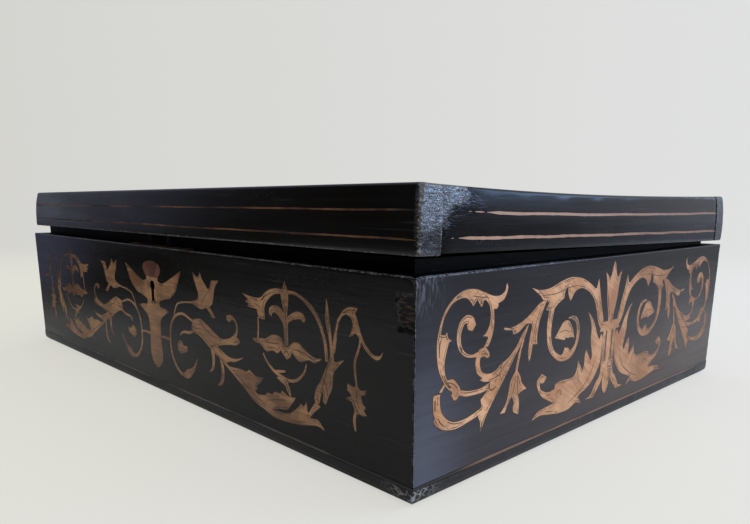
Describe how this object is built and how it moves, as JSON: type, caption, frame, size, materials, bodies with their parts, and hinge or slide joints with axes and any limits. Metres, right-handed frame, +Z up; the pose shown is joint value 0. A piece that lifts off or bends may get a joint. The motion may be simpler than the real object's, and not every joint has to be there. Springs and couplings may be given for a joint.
{
  "type": "marquetry box with hinged lid",
  "caption": "Antique ebonised wooden box with inlaid scrollwork marquetry, a hinged lid standing slightly ajar, and a mortised lock with a sliding bolt.",
  "frame": {"origin": "middle of the flat underside of the base board", "axes": "+X to the right seen from the keyhole side, +Y towards the hinges, +Z up"},
  "size_m": [0.3096, 0.2271, 0.0889],
  "materials": {
    "ebonised": "ebonised French polish, worn at the edges",
    "carcase_wood": "plain stained wood under the veneer",
    "inlay": "engraved fruitwood inlay, polished",
    "stringing": "fine light stringing lines",
    "lining_wood": "reddish brown wood, waxed",
    "velvet": "short pile velvet",
    "brass": "aged",
    "iron": "dark, filed"
  },
  "bodies": {
    "case": {"back_base_string": "stringing", "back_lining": "lining_wood", "back_veneer": "ebonised", "back_wall": "carcase_wood", "base_board": "ebonised", "floor_pad": "velvet", "front_base_string": "stringing", "front_lining": "lining_wood", "front_marquetry": "inlay", "front_veneer": "ebonised", "front_wall": "carcase_wood", "left_base_string": "stringing", "left_hinge_lower_leaf": "brass", "left_hinge_pin": "brass", "left_lining": "lining_wood", "left_marquetry": "inlay", "left_veneer": "ebonised", "left_wall": "carcase_wood", "lock_case": "iron", "lock_cover": "iron", "lock_plate": "brass", "right_base_string": "stringing", "right_hinge_lower_leaf": "brass", "right_hinge_pin": "brass", "right_lining": "lining_wood", "right_marquetry": "inlay", "right_veneer": "ebonised", "right_wall": "carcase_wood"},
    "lid": {"left_hinge_upper_leaf": "brass", "lid_back_lower_string": "stringing", "lid_back_rail": "ebonised", "lid_back_upper_string": "stringing", "lid_border_string": "stringing", "lid_front_lower_string": "stringing", "lid_front_rail": "ebonised", "lid_front_upper_string": "stringing", "lid_left_lower_string": "stringing", "lid_left_rail": "ebonised", "lid_left_upper_string": "stringing", "lid_lining": "velvet", "lid_panel": "carcase_wood", "lid_right_lower_string": "stringing", "lid_right_rail": "ebonised", "lid_right_upper_string": "stringing", "lid_top_veneer": "ebonised", "lock_link_plate": "brass", "right_hinge_upper_leaf": "brass"},
    "lock_bolt": {"lock_bolt": "iron"}
  },
  "joints": [
    {"name": "lid_hinge", "type": "hinge", "parent": "case", "child": "lid", "pos_m": [0, 0.11405, 0.0649], "axis": [-1, 0, 0], "range_deg": [0, 100]},
    {"name": "bolt_slide", "type": "slide", "parent": "case", "child": "lock_bolt", "axis": [1, 0, 0], "range_m": [0, 0.0035]}
  ]
}
